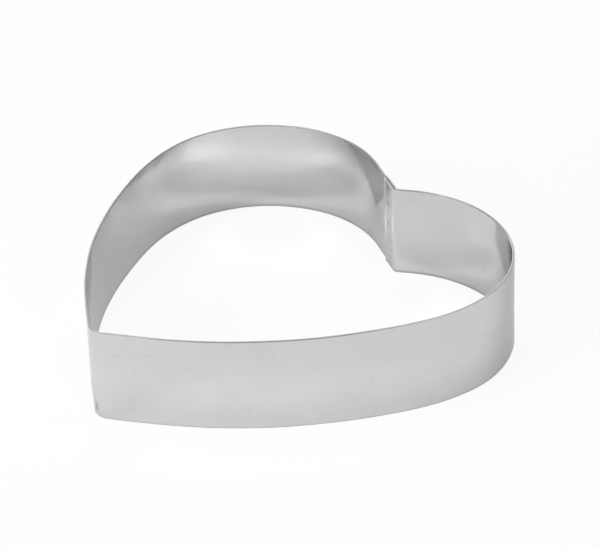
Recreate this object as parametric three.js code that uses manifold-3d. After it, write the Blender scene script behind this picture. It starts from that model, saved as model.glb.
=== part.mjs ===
// Heart cake ring: one stainless strip on edge, bent into a heart. At the cleft one end, a flange, laps inside
// the other, which steps out over it, and a column of spot welds closes the ring. Millimetres, +Z up. The ring
// stands on its lower rim at z = 0, centred on the origin, with the tip towards -Y and the lobes towards +Y.

import * as THREE from "three";
import { mergeVertices } from "three/addons/utils/BufferGeometryUtils.js";
import Module from "manifold-3d";

// The heart, measured to the face that shapes the cake
const insideWidth = 200; // across both lobes
const insideLength = 189; // from the lobes' crests to the tip
const lobeRadius = 57;
const flankRadius = 205;
const tipRadius = 8;

// The strip
const bandHeight = 45;
const sheet = 1;

// The cleft: a fold between two flat shoulders, and the lap on one of them
const foldRadius = 2; // inside the fold
const plainFlat = 11; // flat shoulder without the lap, from the heart's axis to its lobe
const lapLength = 9.5; // flange that laps inside the strip's other end, up to the fold
const lapRunOut = 12.5; // flat left over beside the flange, towards the lobe
const lapGap = 0.2; // air between the two layers
const joggleRun = 4; // length of the step that takes the covered end out over the flange
const joggleCover = 0.8; // the step ends this far past the flange's end
const coveredReach = 0.5; // the covered end runs this far over the fold

// The spot welds: nuggets widest between the layers, dished by the electrodes on both faces
const weldCount = 3;
const lowestWeld = 10; // up from the lower rim
const highestWeld = 11; // down from the upper rim
const weldInset = 3.8; // from the flange's end
const nuggetRadius = 1.6;
const weldFaceRadius = 1.1;
const weldDish = 0.1;
const weldClearance = 0.3; // between a nugget and its seat

// Smoothness of the facets
const chordError = 0.01;
const weldSides = 24;
const dishRings = 3;

const wasm = await Module();
wasm.setup();

const steel = new THREE.MeshStandardMaterial({
  color: 0xc6c6c4,
  roughness: 0.28,
  metalness: 1,
});
const weldSteel = new THREE.MeshStandardMaterial({
  color: 0xa3a19e,
  roughness: 0.45,
  metalness: 1,
});

// Centreline sizes, half a sheet outside the cake face on round stretches
const lobe = lobeRadius + sheet / 2;
const flank = flankRadius + sheet / 2;
const tip = tipRadius + sheet / 2;
const fold = foldRadius + sheet / 2;
const lobeX = insideWidth / 2 - lobeRadius; // a lobe's centre is at (lobeX, 0)
const layerPitch = sheet + lapGap; // between the centrelines of the two lapped layers
const lapHalf = sheet + lapGap / 2; // half the thickness of the lap
const joggleAngle = 2 * Math.atan(layerPitch / 2 / joggleRun);
const joggle = joggleRun / 2 / Math.sin(joggleAngle); // radius of both bends of the step
const weldPitch = (bandHeight - lowestWeld - highestWeld) / (weldCount - 1);

const direction = (angle) => new THREE.Vector2(Math.cos(angle), Math.sin(angle));
const along = (start, heading, distance) => start.clone().addScaledVector(heading, distance);
const angleTo = (from, to) => Math.atan2(to.y - from.y, to.x - from.x);
const mirrored = (point) => new THREE.Vector2(-point.x, point.y);

// Where the line through p along d meets the line through q along e.
function meet(p, d, q, e) {
  const reach = (q.x - p.x) * e.y - (q.y - p.y) * e.x;
  return along(p, d, reach / (d.x * e.y - d.y * e.x));
}

// Slope of a flat shoulder: the tangent to the lobe that has this length up to the heart's axis.
function shoulderSlope(flatLength) {
  return Math.asin(lobeX / Math.hypot(lobe, flatLength)) - Math.atan2(flatLength, lobe);
}

// Centre of a flank: its arc touches the lobe and the tip bend from outside both.
function flankCentre(lobeCentre, tipCentre) {
  const toLobe = flank - lobe;
  const toTip = flank - tip;
  const span = lobeCentre.distanceTo(tipCentre);
  const corner = Math.acos((toTip ** 2 + span ** 2 - toLobe ** 2) / (2 * toTip * span));
  return along(tipCentre, direction(angleTo(tipCentre, lobeCentre) + corner), toTip);
}

// The plain side is at +X and the lapped side at -X. Normals point out of the heart.
const plainSlope = shoulderSlope(plainFlat);
const lapSlope = shoulderSlope(lapLength + lapRunOut);
const plainNormal = direction(Math.PI / 2 + plainSlope);
const plainHeading = direction(plainSlope);
const lapNormal = direction(Math.PI / 2 - lapSlope);
const lapHeading = direction(-lapSlope); // towards the fold

const plainLobe = new THREE.Vector2(lobeX, 0);
const lapLobe = mirrored(plainLobe);
const tipCentre = new THREE.Vector2(0, lobeRadius - insideLength + tipRadius);
const plainFlank = flankCentre(plainLobe, tipCentre);
const lapFlank = mirrored(plainFlank);

// The flange lies half a pitch inside the line of the lapped shoulder. The fold rounds the corner between the
// flange and the plain shoulder.
const plainStart = along(plainLobe, plainNormal, lobe);
const lapStart = along(lapLobe, lapNormal, lobe);
const flangeLine = along(lapStart, lapNormal, -layerPitch / 2);
const foldCentre = meet(
  along(flangeLine, lapNormal, fold),
  lapHeading,
  along(plainStart, plainNormal, fold),
  plainHeading,
);
const flangeRoot = along(foldCentre, lapNormal, -fold);
const flangeEnd = along(flangeRoot, lapHeading, -lapLength);

// The covered end steps out by half a pitch, in two bends, and runs on over the flange.
const joggleEnd = along(along(flangeEnd, lapNormal, layerPitch), lapHeading, joggleCover);
const joggleStart = along(along(joggleEnd, lapNormal, -layerPitch / 2), lapHeading, -joggleRun);
const coveredEnd = along(along(flangeRoot, lapNormal, layerPitch), lapHeading, coveredReach);

// Every bend along the strip, from the flange to the covered end.
const lobeToFlank = angleTo(plainFlank, plainLobe);
const flankToTip = angleTo(plainFlank, tipCentre);
const bends = [
  {
    centre: foldCentre,
    radius: fold,
    from: -Math.PI / 2 - lapSlope,
    to: -Math.PI / 2 + plainSlope,
    clockwise: false,
  },
  { centre: plainLobe, radius: lobe, from: plainNormal.angle(), to: lobeToFlank, clockwise: true },
  { centre: plainFlank, radius: flank, from: lobeToFlank, to: flankToTip, clockwise: true },
  { centre: tipCentre, radius: tip, from: flankToTip, to: Math.PI - flankToTip, clockwise: true },
  {
    centre: lapFlank,
    radius: flank,
    from: Math.PI - flankToTip,
    to: Math.PI - lobeToFlank,
    clockwise: true,
  },
  { centre: lapLobe, radius: lobe, from: Math.PI - lobeToFlank, to: lapNormal.angle(), clockwise: true },
  {
    centre: along(joggleStart, lapNormal, joggle),
    radius: joggle,
    from: -Math.PI / 2 - lapSlope,
    to: -Math.PI / 2 - lapSlope + joggleAngle,
    clockwise: false,
  },
  {
    centre: along(joggleEnd, lapNormal, -joggle),
    radius: joggle,
    from: lapNormal.angle() + joggleAngle,
    to: lapNormal.angle(),
    clockwise: true,
  },
];

// Points of one face of the strip, this far outwards of its centreline.
function stripFace(offset) {
  const points = [along(flangeEnd, lapNormal, offset)];
  for (const { centre, radius, from, to, clockwise } of bends) {
    const turn = THREE.MathUtils.euclideanModulo(clockwise ? from - to : to - from, 2 * Math.PI);
    const steps = Math.ceil(turn / (2 * Math.acos(1 - chordError / radius)));
    const faceRadius = clockwise ? radius + offset : radius - offset;
    const arc = new THREE.EllipseCurve(centre.x, centre.y, faceRadius, faceRadius, from, to, clockwise);
    for (const point of arc.getPoints(steps)) {
      if (points.at(-1).distanceTo(point) > chordError) points.push(point);
    }
  }
  points.push(along(coveredEnd, lapNormal, offset));
  return points;
}

function solidOf(geometry) {
  const bare = geometry.clone();
  bare.deleteAttribute("normal");
  bare.deleteAttribute("uv");
  const merged = mergeVertices(bare);
  return new wasm.Manifold(
    new wasm.Mesh({
      numProp: 3,
      vertProperties: merged.attributes.position.array,
      triVerts: new Uint32Array(merged.index.array),
    }),
  );
}

function geometryOf(solid) {
  const { vertProperties, triVerts } = solid.getMesh();
  const geometry = new THREE.BufferGeometry();
  geometry.setAttribute("position", new THREE.BufferAttribute(vertProperties, 3));
  geometry.setIndex(new THREE.BufferAttribute(triVerts, 1));
  geometry.computeVertexNormals();
  return geometry;
}

// A solid turned about its own Y axis: the upper half of its profile, from the waist to the axis, and the
// same half below.
function turned(upper) {
  const lower = upper.slice(1).map((point) => new THREE.Vector2(point.x, -point.y));
  return new THREE.LatheGeometry([...lower.reverse(), ...upper], weldSides);
}

// A nugget through both layers, widest between them, so that they hold it and it holds them.
function nuggetGeometry() {
  const upper = [new THREE.Vector2(nuggetRadius, 0)];
  for (let ring = dishRings; ring >= 0; ring -= 1) {
    const share = ring / dishRings;
    upper.push(new THREE.Vector2(weldFaceRadius * share, lapHalf - weldDish * (1 - share ** 2)));
  }
  return turned(upper);
}

// The room for a nugget, running out past both faces of the lap.
function seatGeometry() {
  const mouth = weldFaceRadius + weldClearance;
  const past = lapHalf + sheet;
  return turned([
    new THREE.Vector2(nuggetRadius + weldClearance, 0),
    new THREE.Vector2(mouth, lapHalf),
    new THREE.Vector2(mouth, past),
    new THREE.Vector2(0, past),
  ]);
}

// Places a weld's own frame on the lap, its axis square to the two layers.
function weldMatrix(index) {
  const spot = along(along(flangeEnd, lapHeading, weldInset), lapNormal, layerPitch / 2);
  const height = lowestWeld + index * weldPitch;
  return new THREE.Matrix4().makeRotationZ(-lapSlope).setPosition(spot.x, spot.y, height);
}

function heartBand() {
  const outline = [...stripFace(sheet / 2), ...stripFace(-sheet / 2).reverse()];
  const strip = new THREE.ExtrudeGeometry(new THREE.Shape(outline), {
    depth: bandHeight,
    bevelEnabled: false,
  });
  let band = solidOf(strip);
  for (let index = 0; index < weldCount; index += 1) {
    const seat = seatGeometry().applyMatrix4(weldMatrix(index));
    band = band.subtract(solidOf(seat));
  }
  const mesh = new THREE.Mesh(geometryOf(band), steel);
  mesh.name = "heart_band";
  return mesh;
}

function spotWeld(index) {
  const mesh = new THREE.Mesh(nuggetGeometry(), weldSteel);
  mesh.name = `spot_weld_${index + 1}`;
  weldMatrix(index).decompose(mesh.position, mesh.quaternion, mesh.scale);
  return mesh;
}

const ring = new THREE.Group();
ring.add(heartBand());
for (let index = 0; index < weldCount; index += 1) ring.add(spotWeld(index));

// The heart's middle, between the crests and the tip, goes to the origin.
ring.position.y = insideLength / 2 - lobeRadius;

const heartCakeRing = new THREE.Group();
heartCakeRing.add(ring);

export default heartCakeRing;
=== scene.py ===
import bpy
import numpy as np
from mathutils import Matrix, Vector


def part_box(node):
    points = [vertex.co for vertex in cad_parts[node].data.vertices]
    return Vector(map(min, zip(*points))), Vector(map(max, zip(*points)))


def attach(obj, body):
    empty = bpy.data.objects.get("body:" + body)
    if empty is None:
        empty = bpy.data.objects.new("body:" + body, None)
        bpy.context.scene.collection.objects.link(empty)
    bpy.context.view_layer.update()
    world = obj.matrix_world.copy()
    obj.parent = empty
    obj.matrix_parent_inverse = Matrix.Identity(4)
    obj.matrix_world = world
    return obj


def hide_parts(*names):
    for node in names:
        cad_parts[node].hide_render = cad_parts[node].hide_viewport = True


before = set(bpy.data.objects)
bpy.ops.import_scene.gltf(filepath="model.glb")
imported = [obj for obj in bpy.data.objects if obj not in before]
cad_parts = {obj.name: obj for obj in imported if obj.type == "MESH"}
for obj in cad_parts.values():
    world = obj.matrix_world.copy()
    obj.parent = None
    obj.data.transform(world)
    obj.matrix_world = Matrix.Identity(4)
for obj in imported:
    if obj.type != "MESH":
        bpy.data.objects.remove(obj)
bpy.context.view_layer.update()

# The heart band. One strip of bright cold-rolled stainless sheet, cut to width and bent on edge: a flange,
# the fold at the cleft, a lobe, a flank, the tip bend, the other flank and lobe, and an end that steps out
# over the flange. Its cut edges are rounded off a little, and their corners are rougher than its faces.

band_low, band_high = (np.array(corner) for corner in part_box("heart_band"))
band_width, _, band_height = band_high - band_low
sheet = 0.001
lobe_radius = 0.0575
flank_radius = 0.2055
tip_radius = 0.0085
tip_leg = 0.018
fold_radius = 0.0025
plain_flat = 0.011
flange_length = 0.0095
lap_run_out = 0.0125
lap_gap = 0.0002
layer_pitch = sheet + lap_gap
step_run = 0.004
step_cover = 0.0008
covered_reach = 0.0005

lobe_centre = np.array([(band_width - sheet) / 2 - lobe_radius, band_high[1] - sheet / 2 - lobe_radius])
tip_centre = np.array([0, band_low[1] + sheet / 2 + tip_radius])
other_side = np.array([-1, 1])


def unit(angle):
    """The unit vector, or vectors, at this angle from +X."""
    return np.stack([np.cos(angle), np.sin(angle)], axis=-1)


def bearing(start, end):
    """The angle of the line from one point to another."""
    return np.arctan2(end[1] - start[1], end[0] - start[0])


def shoulder_slope(flat_length):
    """Slope of the lobe's tangent that is this long between the lobe and the heart's axis."""
    reach = np.hypot(lobe_radius, flat_length)
    return np.arcsin(lobe_centre[0] / reach) - np.arctan2(flat_length, lobe_radius)


def crossing(start, heading, other_start, other_heading):
    """Where two lines cross: start plus its heading times the ratio of two cross products."""
    gap = other_start - start
    reach = gap[0] * other_heading[1] - gap[1] * other_heading[0]
    return start + heading * reach / (heading[0] * other_heading[1] - heading[1] * other_heading[0])


plain_slope = shoulder_slope(plain_flat)
lap_slope = shoulder_slope(flange_length + lap_run_out)
plain_normal = unit(np.pi / 2 + plain_slope)
lap_normal = unit(np.pi / 2 - lap_slope)
lap_heading = unit(-lap_slope)
plain_start = lobe_centre + lobe_radius * plain_normal
lap_start = lobe_centre * other_side + lobe_radius * lap_normal
fold_centre = crossing(
    lap_start + (fold_radius - layer_pitch / 2) * lap_normal,
    lap_heading,
    plain_start + fold_radius * plain_normal,
    unit(plain_slope),
)
flange_root = fold_centre - fold_radius * lap_normal
flange_end = flange_root - flange_length * lap_heading
covered_end = flange_root + layer_pitch * lap_normal + covered_reach * lap_heading
step_angle = 2 * np.arctan(layer_pitch / 2 / step_run)
step_radius = step_run / 2 / np.sin(step_angle)
step_end = flange_end + layer_pitch * lap_normal + step_cover * lap_heading
step_start = step_end - layer_pitch / 2 * lap_normal - step_run * lap_heading
to_lobe = flank_radius - lobe_radius
to_tip = flank_radius - tip_radius
lobe_to_tip = np.linalg.norm(lobe_centre - tip_centre)
tip_corner = np.arccos((to_tip**2 + lobe_to_tip**2 - to_lobe**2) / (2 * to_tip * lobe_to_tip))
flank_centre = tip_centre + to_tip * unit(bearing(tip_centre, lobe_centre) + tip_corner)
lobe_to_flank = bearing(flank_centre, lobe_centre)

# Bending the tip leaves the last of each flank straight, so the tip reaches out nearly a millimetre further
# than the two arcs by themselves would take it.
flank_to_leg = bearing(flank_centre, tip_centre) + tip_leg / flank_radius
leg_normal = unit(flank_to_leg)
leg_start = flank_centre + flank_radius * leg_normal
tip_bend_centre = np.array([0, (leg_start @ leg_normal - tip_radius) / leg_normal[1]])
leg_end = tip_bend_centre + tip_radius * leg_normal


def bend(centre, radius, start, end, spacing, outward=1):
    """Stations round a bend: centre plus radius times the unit direction, at even angles. A station is a
    point and the normal out of the heart: that direction, or its opposite where the bend hollows inwards."""
    count = int(np.ceil(abs(end - start) * radius / spacing)) + 1
    direction = unit(np.linspace(start, end, count))
    return np.hstack([centre + radius * direction, outward * direction])


def flat(start, end, normal, spacing):
    """Stations along a straight stretch, evenly spaced, all with one normal."""
    count = int(np.ceil(np.linalg.norm(end - start) / spacing)) + 1
    share = np.linspace(0, 1, count)[:, None]
    return np.hstack([start + share * (end - start), np.tile(normal, (count, 1))])


# Stations run from the flange to the covered end. At both ends three more of them round off the cut edge,
# each drawn in from the full section by its inset.
edge_break = 0.0003
lap_spacing = 0.0003
fold_spacing = 0.0002
tip_spacing = 0.0004
lobe_spacing = 0.0018
flank_spacing = 0.003
end_turn = np.radians([90, 60, 30])
end_reach = edge_break * (1 - np.sin(end_turn))[:, None] * lap_heading
end_inset = edge_break * (1 - np.cos(end_turn))
fold_end = fold_centre - fold_radius * plain_normal
far_lobe, far_flank = lobe_centre * other_side, flank_centre * other_side
plain_up, lap_up = np.pi / 2 + plain_slope, np.pi / 2 - lap_slope
stretches = [
    flat(flange_end + edge_break * lap_heading, flange_root, lap_normal, lap_spacing),
    bend(fold_centre, fold_radius, lap_up - np.pi, plain_up - np.pi, fold_spacing, -1),
    flat(fold_end, plain_start, plain_normal, lobe_spacing),
    bend(lobe_centre, lobe_radius, plain_up, lobe_to_flank, lobe_spacing),
    bend(flank_centre, flank_radius, lobe_to_flank, flank_to_leg, flank_spacing),
    flat(leg_start, leg_end, leg_normal, flank_spacing),
    bend(tip_bend_centre, tip_radius, flank_to_leg, -np.pi - flank_to_leg, tip_spacing),
    flat(leg_end * other_side, leg_start * other_side, leg_normal * other_side, flank_spacing),
    bend(far_flank, flank_radius, -np.pi - flank_to_leg, -np.pi - lobe_to_flank, flank_spacing),
    bend(far_lobe, lobe_radius, np.pi - lobe_to_flank, lap_up, lobe_spacing),
    flat(lap_start, step_start, lap_normal, lap_spacing),
    bend(
        step_start + step_radius * lap_normal,
        step_radius,
        lap_up - np.pi,
        lap_up - np.pi + step_angle,
        lap_spacing,
        -1,
    ),
    bend(step_end - step_radius * lap_normal, step_radius, lap_up + step_angle, lap_up, lap_spacing),
    flat(step_end, covered_end - edge_break * lap_heading, lap_normal, lap_spacing),
]
end_normals = np.tile(lap_normal, (len(end_turn), 1))
stations = np.vstack(
    [np.hstack([flange_end + end_reach, end_normals]), stretches[0]]
    + [stretch[1:] for stretch in stretches[1:]]
    + [np.hstack([covered_end - end_reach, end_normals])[::-1]]
)
place, normal = stations[:, :2], stations[:, 2:]
inset = np.concatenate([end_inset, np.zeros(len(stations) - 2 * len(end_turn)), end_inset[::-1]])
length_along = np.concatenate([[0], np.cumsum(np.linalg.norm(np.diff(place, axis=0), axis=1))])

# The section is a loop of offsets from the centreline and heights: up the inside face, over the upper edge,
# down the outside face and under the lower edge. Point j mirrors point -1 - j. Rows close up at the welds.
weld_names = sorted(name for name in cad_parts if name.startswith("spot_weld"))
weld_centres = np.array([sum(np.array(corner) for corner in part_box(name)) / 2 for name in weld_names])
row_spacing = 0.0018
edge_row = 0.00025
weld_room = 0.0022
weld_row_count = 21
weld_rows = np.linspace(-weld_room, weld_room, weld_row_count)
open_rows = np.arange(row_spacing, band_height - row_spacing, row_spacing)
to_weld = np.abs(open_rows[:, None] - weld_centres[:, 2]).min(axis=1)
open_rows = open_rows[to_weld > weld_room + row_spacing / 4]
rows = np.sort(
    np.concatenate(
        [
            [edge_break + edge_row, band_height - edge_break - edge_row],
            open_rows,
            (weld_centres[:, 2, None] + weld_rows).ravel(),
        ]
    )
)
corner_points = 7
corner_turn = np.radians(np.linspace(0, 90, corner_points))
inside_corner = edge_break - sheet / 2


def corner(offset, height, start):
    """A quarter round of the edge break about a centre, turning clockwise from the start angle."""
    return np.array([offset, height]) + edge_break * unit(start - corner_turn)


half_section = np.vstack(
    [
        corner(inside_corner, edge_break, 3 * np.pi / 2),
        np.column_stack([np.full(len(rows), -sheet / 2), rows]),
        corner(inside_corner, band_height - edge_break, np.pi),
    ]
)
section = np.vstack([half_section, half_section[::-1] * other_side])
loop_step = np.linalg.norm(np.diff(section, axis=0, append=section[:1]), axis=1)
around = np.concatenate([[0], np.cumsum(loop_step)])

# The edges' corners are rough, and they are painted dark: partly the darker cut steel, partly painted shade
# for the dark reflections along the rims. The flats between them stay nearly clean. Along the upper edge the
# painted shade comes and goes with where the rim catches light. Each pair is a length along the strip and a
# level there: 1 is the usual one, 0 leaves the edge unpainted, and high levels reach the flat too.
flat_wear_and_shade = 0.1
corner_wear_and_shade = np.where(corner_turn == 0, flat_wear_and_shade, 1)
half_wear_and_shade = np.concatenate([corner_wear_and_shade, np.zeros(len(rows)), corner_wear_and_shade[::-1]])
section_wear_and_shade = np.concatenate([half_wear_and_shade, half_wear_and_shade[::-1]])
rim_stain_and_shade_levels = [
    (0.010, 0.1),  # the flange
    (0.014, 6),  # the fold and the shoulder
    (0.022, 6),
    (0.034, 0.3),  # the near lobe, round to the flank
    (0.055, 5),
    (0.085, 0),
    (0.150, 0),
    (0.230, 1.5),  # the near flank
    (0.300, 0.8),  # the tip
    (0.340, 1),  # the far flank
    (0.550, 0.8),  # the far lobe, round to the lap
    (0.583, 8),
    (0.605, 1),
]
rim_stain_and_shade = np.interp(length_along, *np.transpose(rim_stain_and_shade_levels))[:, None]
rim_stain_and_shade = np.where(section[:, 1] > band_height / 2, rim_stain_and_shade, 1)

# Real sheet is never quite flat. Away from the lap, two slanting waves ripple it by less than a tenth of a
# millimetre.
offset = section[:, 0] * (1 - inset[:, None] / (sheet / 2))
height = band_height / 2 + (section[:, 1] - band_height / 2) * (1 - inset[:, None] / (band_height / 2))
ripple_height = 0.00005
ripple_length = 0.057
ripple_slant = 60
ripple_fade = 0.03
cross_share = 0.6
cross_pace = 1.71
cross_slant = 90
cross_start = 1
to_end = np.minimum(length_along, length_along[-1] - length_along)[:, None]
calm = np.clip((to_end - ripple_fade) / ripple_fade, 0, 1)
wave = 2 * np.pi * length_along[:, None] / ripple_length
cross_wave = np.sin(cross_pace * wave - cross_slant * height + cross_start)
ripple = np.sin(wave + ripple_slant * height) + cross_share * cross_wave
offset = offset + ripple_height * calm * ripple

# A real bend eases from the flank's curve into the lobe's tighter one: the wall stands up to 0.3 mm out on
# the flank's side of their join, and as much in on the lobe's side.
ease_turn = np.radians(2.3)
ease_run = 0.012
near_join = flank_centre + flank_radius * unit(lobe_to_flank)
for join, side in ((near_join, 1), (near_join * other_side, -1)):
    at_join = length_along[np.linalg.norm(place - join, axis=1).argmin()]
    past = side * (length_along - at_join)[:, None] / ease_run
    offset = offset + ease_turn * ease_run * past * np.exp(-(past**2) / 2)

# The shears leave the flange's end curled a little towards the cake. The electrodes press a shallow dish into
# the lap's two outer faces, where the heat also dulls the steel.
dish_depth = 0.00012
dish_radius = 0.00115
dish_edge = 0.0004
heat_radius = 0.0016
weld_heats = np.array([0.15, 0.9, 1])  # from the lowest weld, which took the least heat, to the highest
from_flange = (place - flange_end) @ lap_normal
lap_reach = (place - flange_end) @ lap_heading
far_off = 1
lap_reach = np.where((np.abs(from_flange) < 2 * sheet) & (lap_reach > -sheet), lap_reach, far_off)
weld_reach = (weld_centres[0, :2] - flange_end) @ lap_heading
rise = height[:, :, None] - weld_centres[:, 2]
from_weld = np.hypot((lap_reach - weld_reach)[:, None], np.abs(rise).min(axis=2))
heat = weld_heats[np.abs(rise).argmin(axis=2)] * np.exp(-((from_weld / heat_radius) ** 2))
dish = dish_depth * (1 - np.clip((from_weld - dish_radius) / dish_edge, 0, 1))
outer_layer = (from_flange > sheet / 2)[:, None]
curl_rise = 0.00035
curl_run = 0.0022
curl = curl_rise * np.clip(1 - lap_reach / curl_run, 0, 1)[:, None] ** 2
offset = offset - np.where(outer_layer, 0, curl)
shown_face = np.where(outer_layer, section[:, 0] > sheet / 4, section[:, 0] < -sheet / 4)
offset = offset - dish * shown_face * np.sign(section[:, 0])

# A knock has left a small dark scuff on the outside of the tip, near its foot.
scuff_past_tip = 0.0012
scuff_rise = 0.0046
scuff_width = 0.0013
scuff_height = 0.002
scuff_along = (length_along - length_along[place[:, 1].argmin()] - scuff_past_tip)[:, None]
scuff = np.exp(-((scuff_along / scuff_width) ** 2) - ((height - scuff_rise) / scuff_height) ** 2)
scuff = np.where(section[:, 0] > sheet / 4, scuff, 0)

# A dark line of painted shade runs along the foot of the inside, where the wall stands on the paper, and a
# dark patch of painted reflection lies on the flange, above the highest weld.
foot_shade_level = 0.45
foot_height = edge_break + 2 * edge_row
foot_shade = foot_shade_level * ((section[:, 0] < 0) & (section[:, 1] < foot_height))
# Painted reflection: a dark patch on the flange's inside face, near its top.
dark_reflection_level = 0.42
dark_reflection_rise = 0.0405
dark_reflection_width = 0.002
dark_reflection_height = 0.0065
dark_reflection_along = (length_along - weld_reach)[:, None]
flange_dark_reflection = np.exp(-((dark_reflection_along / dark_reflection_width) ** 2) - ((height - dark_reflection_rise) / dark_reflection_height) ** 2)
flange_dark_reflection = np.where(section[:, 0] < -sheet / 4, dark_reflection_level * flange_dark_reflection, 0)
# These darkenings are the scuff, which is a real mark, together with the painted shade of the foot line and
# the flange's dark patch.
marks_and_shade = np.maximum(np.maximum(scuff, flange_dark_reflection), foot_shade)

across = place[:, None, :] + offset[:, :, None] * normal[:, None, :]
band_points = np.concatenate([across, height[:, :, None]], axis=2).reshape(-1, 3)


def band_faces(station_count, loop_count):
    """Quads between neighbouring stations and loop points, then a cap of quads across each cut end. Gives
    for every corner its station and its loop point, where loop_count means the first point again."""
    grid = np.meshgrid(range(station_count - 1), range(loop_count), indexing="ij")
    station, point = (axis.ravel() for axis in grid)
    wall_station = np.column_stack([station, station + 1, station + 1, station])
    wall_point = np.column_stack([point, point, point + 1, point + 1])
    side = np.arange(loop_count // 2 - 1)
    cap_point = np.column_stack([side, side + 1, loop_count - 2 - side, loop_count - 1 - side])
    first, last = np.zeros_like(cap_point), np.full_like(cap_point, station_count - 1)
    corner_station = np.vstack([wall_station, first, last])
    corner_point = np.vstack([wall_point, cap_point, cap_point[:, ::-1]])
    return corner_station, corner_point


def placed(name, data):
    """A new object with this data, put into the scene."""
    thing = bpy.data.objects.new(name, data)
    bpy.context.scene.collection.objects.link(thing)
    return thing


corner_station, corner_point = band_faces(len(stations), len(section))
band_quads = corner_station * len(section) + corner_point % len(section)
band_mesh = bpy.data.meshes.new("heart_band_sheet")
band_mesh.from_pydata(band_points.tolist(), [], band_quads.tolist())
band_mesh.shade_smooth()
strip_map = band_mesh.uv_layers.new(name="strip")
strip_uv = np.stack([length_along[corner_station], around[corner_point]], axis=-1)
strip_map.data.foreach_set("uv", strip_uv.ravel())
weld_heat = band_mesh.attributes.new("weld_heat", "FLOAT", "POINT")
weld_heat.data.foreach_set("value", heat.ravel())
edge_wear = band_mesh.attributes.new("edge_wear", "FLOAT", "POINT")
edge_wear.data.foreach_set("value", np.tile(section_wear_and_shade, len(stations)))
# This darkening is partly real stain and the tip's scuff, and partly painted shade: the edges' corners, the
# foot of the inside and a patch on the flange.
edge_stain_and_shade = band_mesh.attributes.new("edge_stain_and_shade", "FLOAT", "POINT")
edge_stain_and_shade.data.foreach_set("value", np.maximum(section_wear_and_shade * rim_stain_and_shade, marks_and_shade).clip(0, 1).ravel())
band = placed("heart_band_sheet", band_mesh)


def add(tree, kind, **sockets):
    """A new shader node with these socket values, where an underscore in a name stands for a space."""
    node = tree.nodes.new("ShaderNode" + kind)
    for name, value in sockets.items():
        node.inputs[name.replace("_", " ")].default_value = value
    return node


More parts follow.
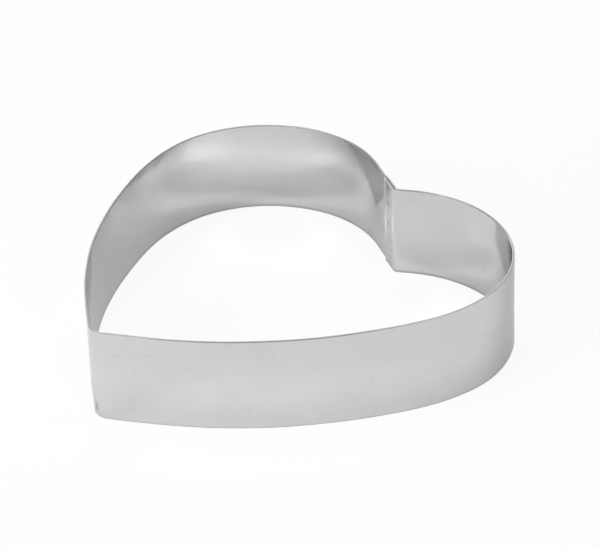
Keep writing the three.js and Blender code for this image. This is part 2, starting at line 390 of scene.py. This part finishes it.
def stainless_sheet():
    """Bright rolled stainless, read along the strip: soft clouds, small wiping smudges, fine rolling lines
    and a few hairline scratches change its tone and roughness. The edges are rougher, and darker where stain
    and painted shade lie on them, and the steel that the welds have heated is both. Painted shade also
    darkens the foot of the inside and a patch of the flange."""
    material = bpy.data.materials.new("stainless_sheet")
    material.use_nodes = True
    tree = material.node_tree
    link = tree.links.new
    shader = tree.nodes["Principled BSDF"]
    shader.inputs["Metallic"].default_value = 1
    shader.inputs["Anisotropic"].default_value = 0.4
    shader.inputs["Specular Tint"].default_value = (0.85, 0.85, 0.85, 1)
    strip = add(tree, "UVMap")
    strip.uv_map = "strip"

    def pattern(scale, turn, noise_scale, detail, low, high):
        """Noise stretched along the strip, as a share from 0 at low to 1 at high."""
        stretch = add(tree, "Mapping", Rotation=(0, 0, turn), Scale=scale)
        noise = add(tree, "TexNoise", Scale=noise_scale, Detail=detail, Roughness=0.55)
        share = add(tree, "MapRange", From_Min=low, From_Max=high)
        link(strip.outputs["UV"], stretch.inputs["Vector"])
        link(stretch.outputs["Vector"], noise.inputs["Vector"])
        link(noise.outputs["Fac"], share.inputs["Value"])
        return share.outputs["Result"]

    def attribute(name):
        """A share that the mesh carries at its points."""
        reader = add(tree, "Attribute")
        reader.attribute_name = name
        return reader.outputs["Fac"]

    def mixed(share, first, second):
        """A number that goes from the first to the second with the share."""
        blend = add(tree, "MapRange", To_Min=first, To_Max=second)
        link(share, blend.inputs["Value"])
        return blend.outputs["Result"]

    def combined(operation, first, second):
        """One number from two by an arithmetic operation."""
        sum_node = add(tree, "Math")
        sum_node.operation = operation
        link(first, sum_node.inputs[0])
        link(second, sum_node.inputs[1])
        return sum_node.outputs["Value"]

    def tinted(colour, share, tint):
        """A colour that goes to a tint with the share. Sockets 6 and 7 are a Mix node's two colours, and its
        output 2 is the colour between them."""
        blend = add(tree, "Mix")
        blend.data_type = "RGBA"
        blend.inputs[7].default_value = tint
        link(share, blend.inputs["Factor"])
        link(colour, blend.inputs[6])
        return blend.outputs[2]

    clouds = pattern(scale=(1, 1, 1), turn=0, noise_scale=55, detail=4, low=0.35, high=0.7)
    wiped = pattern(scale=(1, 1.6, 1), turn=0.2, noise_scale=42, detail=1, low=0.55, high=0.7)
    specks = pattern(scale=(1, 2.2, 1), turn=0.25, noise_scale=230, detail=2, low=0.48, high=0.75)
    smudges = combined("MULTIPLY", wiped, specks)
    rolling = pattern(scale=(6, 1500, 1), turn=0, noise_scale=1, detail=3, low=0.3, high=0.7)
    scratches = pattern(scale=(30, 1400, 1), turn=0.42, noise_scale=1, detail=2, low=0.68, high=0.76)
    heated = attribute("weld_heat")
    worn = attribute("edge_wear")
    stained_and_shaded = attribute("edge_stain_and_shade")

    clean_grey = (0.68, 0.68, 0.68, 1)
    cloud_grey = (0.66, 0.66, 0.66, 1)
    smudge_grey = (0.62, 0.62, 0.62, 1)
    heat_tint = (0.56, 0.55, 0.53, 1)
    # The dark grey below is partly real stain and partly painted shade, at the edges' corners, along the foot
    # of the inside and on the flange's top.
    stain_and_shade_grey = (0.34, 0.34, 0.34, 1)
    tone = add(tree, "ValToRGB")
    tone.color_ramp.elements[0].color = clean_grey
    tone.color_ramp.elements[1].color = cloud_grey
    link(clouds, tone.inputs["Fac"])
    colour = tone.outputs["Color"]
    for share, tint in ((smudges, smudge_grey), (heated, heat_tint), (stained_and_shaded, stain_and_shade_grey)):
        colour = tinted(colour, share, tint)
    link(colour, shader.inputs["Base Color"])

    clear_roughness, cloud_roughness = 0.09, 0.125
    added_roughness = ((rolling, 0.025), (smudges, 0.05), (scratches, 0.12), (heated, 0.15), (worn, 0.35))
    roughness = mixed(clouds, clear_roughness, cloud_roughness)
    for share, added in added_roughness:
        roughness = combined("ADD", roughness, mixed(share, 0, added))
    link(roughness, shader.inputs["Roughness"])

    grooves = combined("SUBTRACT", rolling, scratches)
    bump = add(tree, "Bump", Strength=0.05, Distance=0.00002)
    link(grooves, bump.inputs["Height"])
    link(bump.outputs["Normal"], shader.inputs["Normal"])
    grain = add(tree, "Tangent")
    grain.direction_type = "UV_MAP"
    grain.uv_map = "strip"
    link(grain.outputs["Tangent"], shader.inputs["Tangent"])
    return material


band_mesh.materials.append(stainless_sheet())
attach(band, "root")
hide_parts("heart_band")

# The spot welds. Each is a nugget of melted steel through both layers of the lap, widest between them, with
# a dished face on each side where an electrode pressed. The faces are dull and a little heat-tinted.

weld_face_radius = 0.0011
weld_waist_radius = 0.0016
weld_dish = 0.0001
weld_half = sheet + lap_gap / 2
weld_sides = 40
dish_rings = 7
dish_share = np.linspace(1, 0, dish_rings + 1)[:-1]
dish_profile = np.column_stack([weld_face_radius * dish_share, weld_half - weld_dish * (1 - dish_share**2)])
upper_profile = np.vstack([[weld_waist_radius, 0], dish_profile])
weld_profile = np.vstack([upper_profile[:0:-1] * [1, -1], upper_profile])


def ring_quads(ring_count, side_count):
    """Quads between neighbouring rings of points, each with the same number of points: a point, the same one
    on the next ring, that one's neighbour, and the point's own neighbour."""
    grid = np.meshgrid(range(ring_count - 1), range(side_count), indexing="ij")
    ring, side = (axis.ravel() for axis in grid)
    after = (side + 1) % side_count
    quads = np.column_stack([side, side + side_count, after + side_count, after])
    return quads + (ring * side_count)[:, None]


def weld_nugget(name, centre, heat_level):
    """A closed surface of revolution about the lap's normal: profile radius times a turning direction in the
    lap's plane, plus profile height along the normal, with one point at each pole."""
    turn = np.linspace(0, 2 * np.pi, weld_sides, endpoint=False)
    along = np.append(lap_heading, 0)
    out = np.append(lap_normal, 0)
    spoke = np.cos(turn)[:, None] * along + np.sin(turn)[:, None] * np.array([0, 0, 1])
    rings = weld_profile[:, 0, None, None] * spoke + weld_profile[:, 1, None, None] * out
    poles = (weld_half - weld_dish) * np.outer([-1, 1], out)
    points = centre + np.vstack([rings.reshape(-1, 3), poles])
    quads = ring_quads(len(weld_profile), weld_sides)
    first = np.arange(weld_sides)
    second = (first + 1) % weld_sides
    low_pole = len(points) - 2
    top = weld_sides * (len(weld_profile) - 1)
    low_cap = np.column_stack([first, second, np.full(weld_sides, low_pole)])
    high_cap = np.column_stack([second + top, first + top, np.full(weld_sides, low_pole + 1)])
    mesh = bpy.data.meshes.new(name)
    mesh.from_pydata(points.tolist(), [], quads.tolist() + low_cap.tolist() + high_cap.tolist())
    mesh.shade_smooth()
    nugget_heat = mesh.attributes.new("weld_heat", "FLOAT", "POINT")
    nugget_heat.data.foreach_set("value", np.full(len(points), heat_level))
    return placed(name, mesh)


def spot_weld():
    """Dull pressed steel, mottled at the scale of the electrode's face. The more heat a weld took, the more
    it is tinted brown."""
    material = bpy.data.materials.new("spot_weld")
    material.use_nodes = True
    tree = material.node_tree
    shader = tree.nodes["Principled BSDF"]
    shader.inputs["Metallic"].default_value = 1
    dark_tint = (0.49, 0.48, 0.47, 1)
    pale_tint = (0.57, 0.56, 0.54, 1)
    clean_steel = (0.66, 0.66, 0.65, 1)
    position = add(tree, "TexCoord")
    mottle = add(tree, "TexNoise", Scale=1800, Detail=3)
    tint = add(tree, "ValToRGB")
    tint.color_ramp.elements[0].color = dark_tint
    tint.color_ramp.elements[0].position = 0.35
    tint.color_ramp.elements[1].color = pale_tint
    tint.color_ramp.elements[1].position = 0.7
    heat = add(tree, "Attribute")
    heat.attribute_name = "weld_heat"
    colour = add(tree, "Mix")
    colour.data_type = "RGBA"
    colour.inputs[6].default_value = clean_steel
    dullness = add(tree, "MapRange", To_Min=0.25, To_Max=0.4)
    pitting = add(tree, "Bump", Strength=0.3, Distance=0.00003)
    tree.links.new(position.outputs["Object"], mottle.inputs["Vector"])
    tree.links.new(mottle.outputs["Fac"], tint.inputs["Fac"])
    tree.links.new(mottle.outputs["Fac"], dullness.inputs["Value"])
    tree.links.new(mottle.outputs["Fac"], pitting.inputs["Height"])
    tree.links.new(tint.outputs["Color"], colour.inputs[7])
    tree.links.new(heat.outputs["Fac"], colour.inputs["Factor"])
    tree.links.new(colour.outputs[2], shader.inputs["Base Color"])
    tree.links.new(dullness.outputs["Result"], shader.inputs["Roughness"])
    tree.links.new(pitting.outputs["Normal"], shader.inputs["Normal"])
    return material


weld_material = spot_weld()
for weld_name, weld_centre, weld_level in zip(weld_names, weld_centres, weld_heats):
    nugget = weld_nugget(weld_name + "_nugget", weld_centre, weld_level)
    nugget.data.materials.append(weld_material)
    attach(nugget, "root")
    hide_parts(weld_name)

# The table that the ring stands on. A sheet of white paper, flat under the ring and swept up all round it
# far outside the picture, so that every view has the same pale ground.

floor_flat = 3.0
floor_sweep = 1.0
floor_sides = 96
sweep_rings = 13
flat_rings = [0.4, 1.2]
sweep_turn = np.radians(np.linspace(0, 90, sweep_rings))
floor_radius = np.concatenate([flat_rings, floor_flat + floor_sweep * np.sin(sweep_turn)])
floor_height = np.concatenate([np.zeros_like(flat_rings), floor_sweep * (1 - np.cos(sweep_turn))])
floor_spoke = unit(np.linspace(0, 2 * np.pi, floor_sides, endpoint=False))
floor_rings = np.concatenate(
    [
        floor_radius[:, None, None] * floor_spoke,
        np.broadcast_to(floor_height[:, None, None], (len(floor_radius), floor_sides, 1)),
    ],
    axis=2,
)
floor_quads = ring_quads(len(floor_radius), floor_sides)
floor_middle = list(range(floor_sides))
floor_mesh = bpy.data.meshes.new("paper_floor")
floor_mesh.from_pydata(floor_rings.reshape(-1, 3).tolist(), [], floor_quads.tolist() + [floor_middle])
floor_mesh.shade_smooth()
floor = placed("paper_floor", floor_mesh)


def white_paper():
    """Matt white paper. What the camera sees of it is lifted nearly to white, so that only a trace of the
    ring's shadow is left, and what the steel mirrors of it is lifted a little."""
    camera_lift = 0.9
    mirror_lift = 0.15
    material = bpy.data.materials.new("white_paper")
    material.use_nodes = True
    tree = material.node_tree
    tree.nodes.clear()
    matt = add(tree, "BsdfDiffuse", Color=(0.9, 0.9, 0.9, 1))
    white = add(tree, "Emission", Color=(1, 1, 1, 1), Strength=1)
    path = add(tree, "LightPath")
    mirrored = add(tree, "Math")
    mirrored.operation = "MAXIMUM"
    seen = add(tree, "Math")
    seen.operation = "MULTIPLY"
    seen.inputs[1].default_value = camera_lift
    lift = add(tree, "Math")
    lift.operation = "MULTIPLY_ADD"
    lift.inputs[1].default_value = mirror_lift
    both = add(tree, "MixShader")
    out = add(tree, "OutputMaterial")
    tree.links.new(path.outputs["Is Glossy Ray"], mirrored.inputs[0])
    tree.links.new(path.outputs["Is Transmission Ray"], mirrored.inputs[1])
    tree.links.new(path.outputs["Is Camera Ray"], seen.inputs[0])
    tree.links.new(mirrored.outputs["Value"], lift.inputs[0])
    tree.links.new(seen.outputs["Value"], lift.inputs[2])
    tree.links.new(lift.outputs["Value"], both.inputs["Fac"])
    tree.links.new(matt.outputs["BSDF"], both.inputs[1])
    tree.links.new(white.outputs["Emission"], both.inputs[2])
    tree.links.new(both.outputs["Shader"], out.inputs["Surface"])
    return material


floor_mesh.materials.append(white_paper())

# Plain studio light: a dim even room and six large soft panels, which stand to the left and the right of the
# camera, behind the ring and above it.

room_strength = 0.1
panel_distance = 1.6
studio = bpy.data.worlds.new("studio")
studio.use_nodes = True
studio.node_tree.nodes["Background"].inputs["Color"].default_value = (1, 1, 1, 1)
studio.node_tree.nodes["Background"].inputs["Strength"].default_value = room_strength
bpy.context.scene.world = studio


def sight_line(azimuth, elevation):
    """The unit vector from the ring towards a place at this bearing, counted from -Y towards +X, and this
    elevation above the table, both in degrees."""
    turn, climb = np.radians([azimuth, elevation])
    return Vector((np.sin(turn) * np.cos(climb), -np.cos(turn) * np.cos(climb), np.sin(climb)))


def soft_panel(name, azimuth, elevation, width, height, power):
    """A rectangular area lamp that faces the ring from this bearing and elevation."""
    lamp = bpy.data.lights.new(name, "AREA")
    lamp.shape = "RECTANGLE"
    lamp.size = width
    lamp.size_y = height
    lamp.energy = power
    panel = placed(name, lamp)
    back = sight_line(azimuth, elevation)
    panel.location = panel_distance * back
    panel.rotation_euler = back.to_track_quat("Z", "Y").to_euler()


soft_panel("left_low", azimuth=-10.5, elevation=12, width=2.4, height=0.6, power=22.8)
soft_panel("left_high", azimuth=-10.5, elevation=40, width=0.7, height=0.7, power=8.6)
soft_panel("right_high", azimuth=89.5, elevation=40, width=0.7, height=0.7, power=7.5)
soft_panel("back", azimuth=229.5, elevation=32, width=2.0, height=0.8, power=3.3)
soft_panel("back_low", azimuth=249.5, elevation=14, width=1.4, height=0.6, power=5.4)
soft_panel("top", azimuth=229.5, elevation=70, width=1.4, height=0.8, power=7.9)

# The pale patches on the ring's inside are the light that its own hollow walls gather on the paper. Filter
# Glossy would blur that light away, so it is off.
bpy.context.scene.cycles.blur_glossy = 0

# The camera, where the photograph was taken from. Its place, its lens and its slight tilt were solved from
# the ring's edges.

camera_aim = Vector((0.00246, 0.02142, 0.02390))
camera_azimuth = 49.535
camera_elevation = 31.771
camera_roll = np.radians(-2.176)
camera_distance = 1.549
camera_lens = 203.17
camera = bpy.data.cameras.new("camera")
camera.sensor_fit = "HORIZONTAL"
camera.sensor_width = 36
camera.lens = camera_lens
camera_object = placed("camera", camera)
camera_back = sight_line(camera_azimuth, camera_elevation)
camera_turn = camera_back.to_track_quat("Z", "Y").to_matrix() @ Matrix.Rotation(camera_roll, 3, "Z")
camera_place = Matrix.Translation(camera_aim + camera_distance * camera_back)
camera_object.matrix_world = camera_place @ camera_turn.to_4x4()
bpy.context.scene.camera = camera_object
bpy.context.scene.view_settings.view_transform = "Standard"
